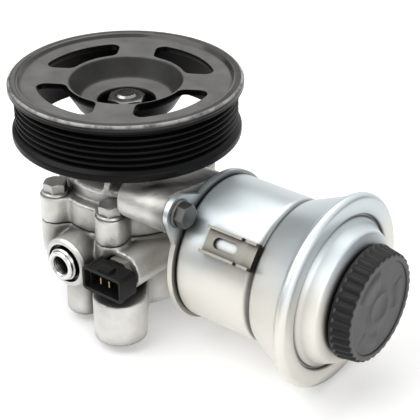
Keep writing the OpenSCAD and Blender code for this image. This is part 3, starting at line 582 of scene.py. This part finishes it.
def casting(name, node, cutters, rings=()):
    held = bpy.data.objects.new(name, frame["nodes"][node].data.copy())
    scene.collection.objects.link(held)
    skin = held.modifiers.new("skin", "REMESH")
    skin.mode = "VOXEL"
    skin.voxel_size = VOXEL * MM
    ease = held.modifiers.new("ease", "SMOOTH")
    ease.factor = 0.5
    ease.iterations = ROUNDS
    settle(held)
    carve(held, rings, "UNION")
    carve(held, cutters)
    return fit(held, "housing", "cast_aluminium", node)


BOLTS = [(sx * 20.7, sy * 38.9) for sx in (1, -1) for sy in (1, -1)]
LUG = 50.5 * math.cos(math.radians(45))

front_bores = [
    drill((0, 0, 57), (0, 0, 78), 30.02, 96),  # chamber of the vane pack
    drill((0, 0, 77), (0, 0, 85), 10.55),  # bush
    drill((0, 0, 84), (0, 0, 91), 14.02),  # seal
    drill((0, 0, 90), (0, 0, 104), 17.52),  # bearing
    drill((0, 0, 100), (0, 0, 101.2), 18.42),  # groove of the circlip
    drill((29, 0, SUCTION_Z), (66, 0, SUCTION_Z), 9.02),  # suction from the tank
    drill((45.5, -LUG, TANK_Z + LUG), (66, -LUG, TANK_Z + LUG), 4.02),  # tank bolt
    drill((0, 27.05, 57), (0, 27.05, 81), 1.52, 24),  # dowel pins
    drill((0, -27.05, 57), (0, -27.05, 81), 1.52, 24),
]
front_bores += [drill((x, y, 57), (x, y, 94), 4.4) for x, y in BOLTS]
front_bores += [drill((x, y, 74), (x, y, 94), 8.52) for x, y in BOLTS]  # seats of the bolt heads
casting("front_casting", "front_housing", front_bores)

# %% [markdown]
# The rear casting holds the flow valve, the switch and the mounting ears, and it is made in the same way.
# The thin land round its pressure port is too fine for the voxels, so it is turned as a ring and joined
# on before the drilling.

# %% Rear casting
rear_bores = [
    drill((0, 0, 54.6), (0, 0, 59), 17),  # pit of the plate spring
    drill((0, 13.2, PORT_Z), (0, -58, PORT_Z), 7.5, 96),  # flow valve
    drill((0, -36, PORT_Z), (0, -58, PORT_Z), 9.52, 96),  # union
    drill((0, -53, PORT_Z), (0, -58, PORT_Z), 11.5),  # mouth of the port
    drill((0, -9, PORT_Z), (0, -9, 59), 2.5, 32),  # way from the vane pack to the valve
    drill((33, -30.5, 45), (33, -52, 45), 5.02),  # shank of the switch
    drill((33, -44.5, 45), (33, -66, 45), 10.61),  # seat of the switch
    drill((31.5, 46, -1), (31.5, 46, 33), 5.25),  # mounting ears
    drill((31.5, -46, -1), (31.5, -46, 33), 5.25),
    drill((45.5, LUG, TANK_Z - LUG), (66, LUG, TANK_Z - LUG), 4.02),  # tank bolt
]
rear_bores += [drill((x, y, 41), (x, y, 60), 4.02) for x, y in BOLTS]
port_land = [(9, 50), (13.9, 50), (14.7, 53.5), (14.7, 54.5), (13.1, 56), (9, 56)]
port_ring = as_object("port_ring", spun(eased(port_land, 0.4), PORT, 96))
casting("rear_casting", "rear_housing", rear_bores, [port_ring])

# %% [markdown]
# The pulley is spun from one outline with its six belt grooves and a bowl round the nut. A belt pulley
# could also be built from separate rings, but one outline keeps the sheet in one piece from the rim to
# the hub.

# %% Pulley outline
RIM_IN, RIB, ROOT, EDGE = 55.84, 62.0, 59.44, 65.0
FOOT, CROWN, FACE, WEB, SHEET, CUP = 104.0, 137.5, 135.0, 123.5, 3.2, 15.47
GROOVES, GROOVE, MARGIN, BOWL, BOWL_FOOT = 6, 3.56, 6.07, 31.5, 25.0

track = []
for k in range(GROOVES):
    low = FOOT + MARGIN + GROOVE * k
    track += [(RIB, low + 0.356), (ROOT, low + 1.495), (ROOT, low + 2.065), (RIB, low + 3.204)]
pulley_outline = (
    [(RIM_IN, FOOT), (EDGE - 2, FOOT), (EDGE - 1, FOOT + 1), (EDGE - 1, FOOT + MARGIN - 1.6)]
    + track
    + [(EDGE, CROWN - MARGIN + 1.6), (EDGE, CROWN - 1.6), (EDGE - 1.6, CROWN), (EDGE - 4.6, CROWN)]
    + [(EDGE - 5.6, CROWN - 0.4), (EDGE - 7, FACE)]
    + [(BOWL + 1, FACE), (BOWL, FACE - 0.5), (BOWL - 0.8, FACE - 1.8)]
    + [(BOWL_FOOT + 1.2, WEB + 2), (BOWL_FOOT + 0.2, WEB + 0.6), (BOWL_FOOT - 1.2, WEB)]
    + [(CUP + 3, WEB), (CUP + 1, WEB - 0.6), (CUP, WEB - 2.5), (CUP, 115), (12.5, 115), (12.5, 111.8)]
    + [(CUP + SHEET, 111.8), (CUP + SHEET, WEB - SHEET)]
    + [(BOWL_FOOT + 0.3 * SHEET, WEB - SHEET), (BOWL_FOOT + 0.7 * SHEET, WEB - 0.7 * SHEET)]
    + [(BOWL + 0.55 * SHEET, FACE - 1.2 * SHEET), (BOWL + 0.9 * SHEET, FACE - SHEET)]
    + [(RIM_IN - 3, FACE - SHEET), (RIM_IN - 0.9, FACE - SHEET - 0.9), (RIM_IN, FACE - SHEET - 3)])
print("pulley outline has", len(pulley_outline), "corners")

# %% [markdown]
# Four windows are cut through the web, between four spokes. Each is an outline of two arcs and four round
# corners, pushed through the sheet as a cutter, so all four are alike. A Bevel modifier then rolls the
# cut edges, as a press does when it shears sheet metal.

# %% Pulley
SPOKES = (-58, 32, 122, 212)


def arc(x, y, r, a, b, n):
    """Points on a circle about x, y from angle a to angle b in n steps."""
    turns = [math.radians(a + (b - a) * k / n) for k in range(n + 1)]
    return [(x + r * math.cos(t), y + r * math.sin(t)) for t in turns]


def window(middle, inner=33.0, outer=49.5, spoke=21.0, corner=5.0, half=45.0):
    """The outline of one window between two spokes, as points on the web."""
    def at(r, a):
        turn = math.radians(middle + a)
        return r * math.cos(turn), r * math.sin(turn)

    o, i = outer - corner, inner + corner
    ao = half - math.degrees(math.asin((spoke / 2 + corner) / o))
    ai = half - math.degrees(math.asin((spoke / 2 + corner) / i))
    points = arc(0, 0, outer, middle - ao, middle + ao, 16)
    points += arc(*at(o, ao), corner, middle + ao, middle + half + 90, 8)[1:]
    points += arc(*at(i, ai), corner, middle + half + 90, middle + ai + 180, 8)
    points += arc(0, 0, inner, middle + ai, middle - ai, 10)[1:]
    points += arc(*at(i, -ai), corner, middle - ai + 180, middle - half + 270, 8)[1:]
    points += arc(*at(o, -ao), corner, middle - half - 90, middle - ao, 8)[:-1]
    return points


def prism(points, low, high):
    bm = bmesh.new()
    loops = [[bm.verts.new(Vector((x, y, z)) * MM) for x, y in points] for z in (low, high)]
    stitch(bm, loops, ring=False)
    for loop in loops:
        bm.faces.new(loop)
    bmesh.ops.remove_doubles(bm, verts=bm.verts, dist=1e-6)
    return as_object("cutter", bm)


wheel = as_object("pulley_wheel", spun(eased(pulley_outline, 0.55), SHAFT, 180))
carve(wheel, [prism(window(a + 45), FACE - 2 * SHEET, FACE + 1) for a in SPOKES])
roll = wheel.modifiers.new("roll", "BEVEL")
roll.width = 0.45 * MM
roll.segments = 2
roll.limit_method = "ANGLE"
roll.angle_limit = math.radians(50)
settle(wheel)
fit(wheel, "shaft", "black_paint", "pulley")

# %% [markdown]
# The tank is a deep-drawn cup. It is straight from the flange to a rolled neck, flares out to a crest and
# is crimped over the edge of its cover. Inside it is hollow, so the outline has two skins 1.6 mm apart.

# %% Tank cup
CAN, CREST, SKIN = 41.0, 54.0, 1.6
CAN_X, FLARE_X, CREST_X, CRIMP = 66.5, 114.5, 142.5, 3.2
cup_outline = (
    [(0, CAN_X), (CAN - 4, CAN_X)] + arc(CAN - 3, CAN_X + 3, 3, -70, 0, 6)
    + [(CAN, FLARE_X - 3), (CAN - 1, FLARE_X - 0.8), (CAN - 1, FLARE_X + 0.4), (CAN + 0.6, FLARE_X + 2)]
    + [(CREST - 2.6, CREST_X - 3.4)] + arc(CREST - CRIMP, CREST_X, CRIMP, -25, 90, 12)
    + [(43.4, CREST_X + CRIMP), (42.6, CREST_X + CRIMP - SKIN), (CREST - CRIMP, CREST_X + CRIMP - SKIN)]
    + arc(CREST - CRIMP, CREST_X, CRIMP - SKIN, 90, -25, 8)
    + [(CREST - 2.6 - SKIN, CREST_X - 3), (CAN + 0.6 - SKIN, FLARE_X + 2.4), (CAN - 1 - SKIN, FLARE_X + 1)]
    + [(CAN - 1 - SKIN, FLARE_X - 1.2), (CAN - SKIN, FLARE_X - 3.2)]
    + arc(CAN - 3.2, CAN_X + 3.2, 3.2 - SKIN, 0, -70, 6) + [(CAN - 5, CAN_X + SKIN), (0, CAN_X + SKIN)])
cup = as_object("tank_can", spun(eased(cup_outline, 1.6), TANK, 180))
carve(cup, [
    drill((CAN_X - 1, 0, SUCTION_Z), (CAN_X + 3, 0, SUCTION_Z), 9.02),  # suction
    drill((84.5, 27, 42), (84.5, 47, 42), 5.52),  # return nipple
])
fit(cup, "housing", "tank_steel", "tank_cup")

# %% [markdown]
# The cover is a shallow pressing that rises from the crimp to the filler neck. It is cut from the same
# sheet, so it takes the same finish.

# %% Tank cover
COVER_R, COVER_X, NECK_R, NECK_X, LIP_X = 42.0, 144.1, 25.0, 156.7, 163.7
SLOPE_R, SLOPE_FOOT = 36.2, 30.4
cover_outline = (
    [(50.4, COVER_X - SKIN), (50.4, COVER_X), (COVER_R, COVER_X), (COVER_R - 0.6, COVER_X + 1)]
    + [(COVER_R - 2.4, COVER_X + 2.6), (SLOPE_R, NECK_X - 3.2), (SLOPE_FOOT, NECK_X - 0.8)]
    + arc(NECK_R + 2, NECK_X + 2, 2, -100, -180, 6)
    + [(NECK_R, LIP_X - 0.6), (NECK_R - 0.6, LIP_X), (NECK_R - 1.8, LIP_X), (NECK_R - 1.8, NECK_X + 0.6)]
    + [(NECK_R - 0.4, NECK_X - SKIN), (SLOPE_FOOT - 0.4, NECK_X - SKIN - 1)]
    + [(SLOPE_R - 0.6, NECK_X - 3.2 - SKIN), (COVER_R - 3.4, COVER_X + 1.4), (COVER_R - 2, COVER_X - SKIN)])
cover = as_object("tank_lid", spun(eased(cover_outline, 1.2), TANK, 180))
fit(cover, "housing", "tank_steel", "tank_cover")

# %% [markdown]
# The cap is moulded, with a ring of finger grips. Spinning can't make grips, so the cap is lofted from
# loops whose radius swells and shrinks round the circle. Its face is left plain but for a moulded ring
# and three low bars, which are only there to stop a flat disc from looking like a drawing.

# %% Cap
GRIPS, TURNS = 36, 36 * 10
CAP_R, FACE_R, FOOT_X, FACE_X, ROOF_X, BORE = 31.5, 29.8, 158.0, 169.6, 165.7, 25.4


def cap_loop(bm, r, x, bite=0.0, bars=0.0):
    """One loop of the cap, with grips cut in by bite and three bars raised by bars."""
    loop = []
    for k in range(TURNS):
        a = 2 * math.pi * k / TURNS
        groove = (0.5 + 0.5 * math.cos(GRIPS * a)) ** 1.6
        bar = min(max((math.cos(3 * a) - 0.1) * 6, 0), 1)
        rr, xx = r - bite * groove, x + bars * bar
        loop.append(bm.verts.new(TANK @ Vector((rr * math.cos(a), rr * math.sin(a), xx)) * MM))
    return loop


def taper(x):
    """Radius of the cap's side, which narrows from its foot to its face."""
    return CAP_R + (FACE_R - CAP_R) * (x - FOOT_X) / (FACE_X - FOOT_X)


DISC_X = FACE_X - 0.9
inside = [(0.6, ROOF_X), (BORE - 0.4, ROOF_X), (BORE, ROOF_X - 0.4)]
inside += [(BORE, FOOT_X + 0.4), (BORE + 0.4, FOOT_X)]
skirt = [(CAP_R - 0.7, FOOT_X), (CAP_R - 0.2, FOOT_X + 0.2), (CAP_R, FOOT_X + 0.7), (CAP_R, FOOT_X + 1.5)]
grips = [(CAP_R - 0.1, FOOT_X + 1.7, 0.5)]
grips += [(taper(FOOT_X + h), FOOT_X + h, 1.25) for h in (2.1, 4.5, 7.0, 9.2)]
grips += [(FACE_R + 0.05, FACE_X - 1.3, 1.2), (FACE_R - 0.3, FACE_X - 0.5, 1.0)]
brim = [(FACE_R - 1.0, FACE_X - 0.1, 0.6), (FACE_R - 1.8, FACE_X, 0.2), (FACE_R - 3.2, FACE_X)]
brim += [(FACE_R - 3.8, FACE_X - 0.25), (FACE_R - 4.2, DISC_X)]
low_bars = [(22.5, DISC_X), (22.0, DISC_X, 0, 0.5), (15.5, DISC_X, 0, 0.5), (15.0, DISC_X)]
low_ring = [(9.0, DISC_X), (8.6, FACE_X - 0.5), (7.6, FACE_X - 0.5), (7.2, DISC_X), (0.6, DISC_X)]

bm = bmesh.new()
loops = [cap_loop(bm, *row) for row in inside + skirt + grips + brim + low_bars + low_ring]
stitch(bm, loops, ring=False)
bm.faces.new(loops[0])
bm.faces.new(loops[-1])
fit(as_object("filler_cap", bm), "cap", "cap_plastic", "cap", sharp=50)

# %% [markdown]
# Bolts and nuts. A hexagon head is a six-sided bar whose corners were turned off at an angle, which
# leaves the curved edges that everyone knows. So a prism is cut by the overlap with a spun, chamfered
# disc.

# %% Hexagons
def seat_at(spot, axis):
    """A frame in millimetres at spot, with its Z along axis."""
    return Matrix.Translation(spot) @ Vector(axis).to_track_quat("Z", "Y").to_matrix().to_4x4()


def hexagon(flats, height, seat, bore=0.0):
    r = flats / 2 / math.cos(math.radians(30))
    bm = bmesh.new()
    ring = [(r * math.cos(math.radians(60 * k)), r * math.sin(math.radians(60 * k))) for k in range(6)]
    loops = [[bm.verts.new(seat @ Vector((x, y, z)) * MM) for x, y in ring] for z in (0, height)]
    stitch(bm, loops, ring=False)
    for loop in loops:
        bm.faces.new(loop)
    head = as_object("head", bm)
    chamfer = (r - flats * 0.47) * 0.58
    disc = [(bore, -0.01), (r + 0.1, -0.01), (r + 0.1, height - chamfer)]
    disc += [(flats * 0.47, height + 0.01), (bore, height + 0.01)]
    return carve(head, [as_object("disc", spun(disc, seat, 72))], "INTERSECT")


def joined(name, parts):
    bm = bmesh.new()
    for part in parts:
        bm.from_mesh(part.data)
        bpy.data.objects.remove(part)
    return as_object(name, bm)


def bolt(spot, axis, shank):
    seat = seat_at(spot, axis)
    collar = [(0, -shank), (3.2, -shank), (4, -shank + 0.8), (4, 0)]
    collar += [(7.9, 0), (7.9, 0.5), (7.2, 1.6), (0, 1.6)]
    parts = [as_object("collar", spun(eased(collar, 0.3, 3), seat, 48))]
    return parts + [hexagon(12, 5.4, seat @ Matrix.Translation((0, 0, 1.4)))]


housing_set = [part for x, y in BOLTS for part in bolt((x, y, 74), (0, 0, 1), 31)]
fit(joined("housing_bolt_set", housing_set), "housing", "plated_steel", "housing_bolts", sharp=25)
tank_set = bolt((CAN_X, -LUG, TANK_Z + LUG), (1, 0, 0), 18)
tank_set += bolt((CAN_X, LUG, TANK_Z - LUG), (1, 0, 0), 18)
fit(joined("tank_bolt_set", tank_set), "housing", "plated_steel", "tank_bolts", sharp=25)
nut = hexagon(19, 8, SHAFT @ Matrix.Translation((0, 0, 117)), bore=6.02)
nut.name = "shaft_nut"
fit(nut, "shaft", "plated_steel", "pulley_nut", sharp=25)

# %% [markdown]
# The pressure union is turned from bar: a stepped nose outside, a threaded mouth inside. The thread is
# drawn as a row of small V-shaped rings, which is how it reads at this size.

# %% Pressure union
THREAD, PITCH = 5.3, 1.5
mouth = []
for k in range(6):
    deep = 59.0 - k * PITCH
    mouth += [(THREAD, deep), (THREAD + 0.55, deep - PITCH / 2)]
union_outline = (
    [(2.2, 36), (8.9, 36), (9.5, 36.6), (9.5, 40), (7.9, 40), (7.9, 42), (9.5, 42), (9.5, 57.2), (8.7, 58)]
    + [(8.7, 59), (8.0, 60), (6.4, 60), (THREAD + 0.5, 59.4)] + mouth + [(THREAD, 49.9), (2.2, 47.9)])
union = as_object("port_nose", spun(eased(union_outline, 0.25, 2), PORT, 96))
fit(union, "housing", "bright_steel", "port_union", sharp=30)

# %% [markdown]
# Behind the union lies the flow valve, a spool pressed by a coil spring. The spring is a wire swept round
# a helix, one ring of points after another.

# %% Valve spring
COIL_R, WIRE, SEAT_Y, FREE, STROKE = 6.2, 0.8, 13.2, 16.0, 6.0
COILS, STEPS, SIDES = 5, 28, 12

bm = bmesh.new()
loops = []
for k in range(COILS * STEPS + 1):
    a = 2 * math.pi * k / STEPS
    climb = WIRE + (FREE - 2 * WIRE) * k / (COILS * STEPS)
    loop = []
    for t in (2 * math.pi * s / SIDES for s in range(SIDES)):
        r = COIL_R + WIRE * math.cos(t)
        spot = Vector((r * math.cos(a), SEAT_Y - climb - WIRE * math.sin(t), PORT_Z + r * math.sin(a)))
        loop.append(bm.verts.new(spot * MM))
    loops.append(loop)
stitch(bm, loops, ring=False)
bm.faces.new(loops[0])
bm.faces.new(loops[-1])
coil = fit(as_object("valve_coil", bm), "housing", "spring_steel", "valve_spring", sharp=60)
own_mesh(coil)

# %% [markdown]
# The switch's connector is a moulded socket: a box with round corners, a lip at its mouth and a latch on
# top. It is lofted from rounded rectangles, out along the box, over the lip and down into the socket.

# %% Connector
PLUG_X, PLUG_Z, PLUG_Y = 33.0, 45.0, 48.5


def rounded_box(bm, w, h, r, depth):
    loop = []
    for sx, sz, start in ((1, 1, 0), (-1, 1, 90), (-1, -1, 180), (1, -1, 270)):
        for k in range(6):
            t = math.radians(start + 90 * k / 5)
            x = sx * (w / 2 - r) + r * math.cos(t)
            z = sz * (h / 2 - r) + r * math.sin(t)
            loop.append(bm.verts.new(Vector((PLUG_X + x, -PLUG_Y - depth, PLUG_Z + z)) * MM))
    return loop


bm = bmesh.new()
rings = [(26.6, 13.1, 1.6, 0), (27.2, 13.7, 1.9, 0.4), (27.2, 13.7, 1.9, 10.4), (28, 14.5, 2.2, 10.8)]
rings += [(28, 14.5, 2.2, 13.1), (27.4, 13.9, 2.0, 13.5), (25.0, 11.5, 1.0, 13.5)]
rings += [(24.4, 10.9, 0.8, 13.1), (24.4, 10.9, 0.8, 4)]
loops = [rounded_box(bm, *ring) for ring in rings]
stitch(bm, loops, ring=False)
bm.faces.new(loops[0])
bm.faces.new(loops[-1])
shell = as_object("shell", bm)


def block(name, low, high, soft=0.3):
    bm = bmesh.new()
    bmesh.ops.create_cube(bm, size=1)
    low, high = Vector(low) * MM, Vector(high) * MM
    for v in bm.verts:
        v.co = Vector(l + (h - l) * (c + 0.5) for l, h, c in zip(low, high, v.co))
    bmesh.ops.bevel(bm, geom=bm.edges[:], offset=soft * MM, segments=2, profile=0.5, affect="EDGES")
    return as_object(name, bm)


top = PLUG_Z + 6.6
latch = [block("latch", (29, -60, top), (37, -54, top + 2.1))]
latch += [block("hook", (31, -57.5, top + 1), (35, -55.5, top + 2.15))]
ribs = [block("rib", (x - 0.6, -58.6, 37.8), (x + 0.6, -49.5, 52.2)) for x in (22.0, 44.0)]
fit(joined("switch_socket", [shell] + latch + ribs), "housing", "black_plastic", "switch_plug", sharp=35)

# %% [markdown]
# The studio starts with a pale floor and a world that is white where a lens or a polished face looks at
# it. A floor lit by lamps alone would turn grey away from the pump, so it glows a little more with
# distance.

# %% Floor and world
AMBIENT = 0.2
GLOW_FROM, GLOW_FULL = 30 * MM, 200 * MM


def seen_directly(m):
    kinds = ("Is Camera Ray", "Is Glossy Ray", "Is Transmission Ray")
    rays = [m.node("ShaderNodeLightPath", out=kind) for kind in kinds]
    return m.math("MINIMUM", rays[0] + rays[1] + rays[2], 1.0)


world = bpy.data.worlds.new("studio")
world.use_nodes = True
scene.world = world
w = Sock(world.node_tree)
sky = world.node_tree.nodes["Background"]
sky.inputs["Color"].default_value = (1, 1, 1, 1)
w.put(sky.inputs["Strength"], AMBIENT + (1 - AMBIENT) * seen_directly(w))


@finish("floor_paper")
def floor_paper(m):
    x, y, _ = axes(m, place(m))
    far = step(m, (x * x + y * y) ** 0.5, GLOW_FROM, GLOW_FULL)
    lift = (0.36 + 0.4 * far) * seen_directly(m)
    return {
        "Base Color": (0.92, 0.92, 0.92, 1),
        "Roughness": 0.9,
        "Emission Color": m.node("ShaderNodeCombineXYZ", {}, {0: lift, 1: lift, 2: lift}),
        "Emission Strength": 1.0,
    }


def sheet(name, size, spot, look, paint):
    bm = bmesh.new()
    bmesh.ops.create_grid(bm, x_segments=1, y_segments=1, size=0.5)
    made = as_object(name, bm)
    made.scale = (*size, 1)
    made.location = spot
    made.rotation_euler = (Vector(look) - Vector(spot)).to_track_quat("Z", "Y").to_euler()
    made.data.materials.append(FINISH[paint])
    return made


sheet("floor", (12, 12), (0, 0, -0.0003), (0, 0, 1), "floor_paper")
print("world strength for matt faces:", AMBIENT)

# %% [markdown]
# Three soft lamps light the pump: a large key lamp above, a weaker one at its side and one behind it.
# Metal only looks like metal when it has something dark to reflect too, so a few dark cards stand outside
# the picture, seen by reflections alone.

# %% Lamps and cards
@finish("card", Specular_IOR_Level=0.0)
def card(m):
    return {"Base Color": (0.02, 0.02, 0.02, 1), "Roughness": 1.0}


def lamp(name, spot, size, power):
    light = bpy.data.lights.new(name, "AREA")
    light.shape = "DISK"
    light.size = size
    light.energy = power
    made = bpy.data.objects.new(name, light)
    made.location = spot
    made.rotation_euler = (Vector(spot) - AIM).to_track_quat("Z", "Y").to_euler()
    scene.collection.objects.link(made)
    print("lamp", name, "gives", power, "W")


lamp("key", (-0.4, -0.6, 1.0), 1.2, 9.4)
lamp("side", (1.0, -0.45, 0.6), 0.9, 3.5)
lamp("rear", (0.0, 0.4, 1.15), 0.9, 5.4)

for name, size, spot in (
    ("card_left", (0.5, 1.1), (-0.75, 0.25, 0.5)),
    ("card_front", (0.5, 0.3), (-0.12, -0.42, 0.012)),
    ("card_right", (0.5, 0.4), (0.5, 0.42, 0.012)),
    ("card_back", (0.5, 0.35), (-0.5, 0.75, 0.6)),
):
    flag = sheet(name, size, spot, AIM, "card")
    flag.visible_camera = False
    flag.visible_diffuse = False
    flag.visible_shadow = False
    flag.visible_transmission = False

# %% [markdown]
# Last, the picture's plain colour transform. The dressed pump has to stay as large as its CAD model.

# %% Finish
scene.view_settings.view_transform = "Standard"
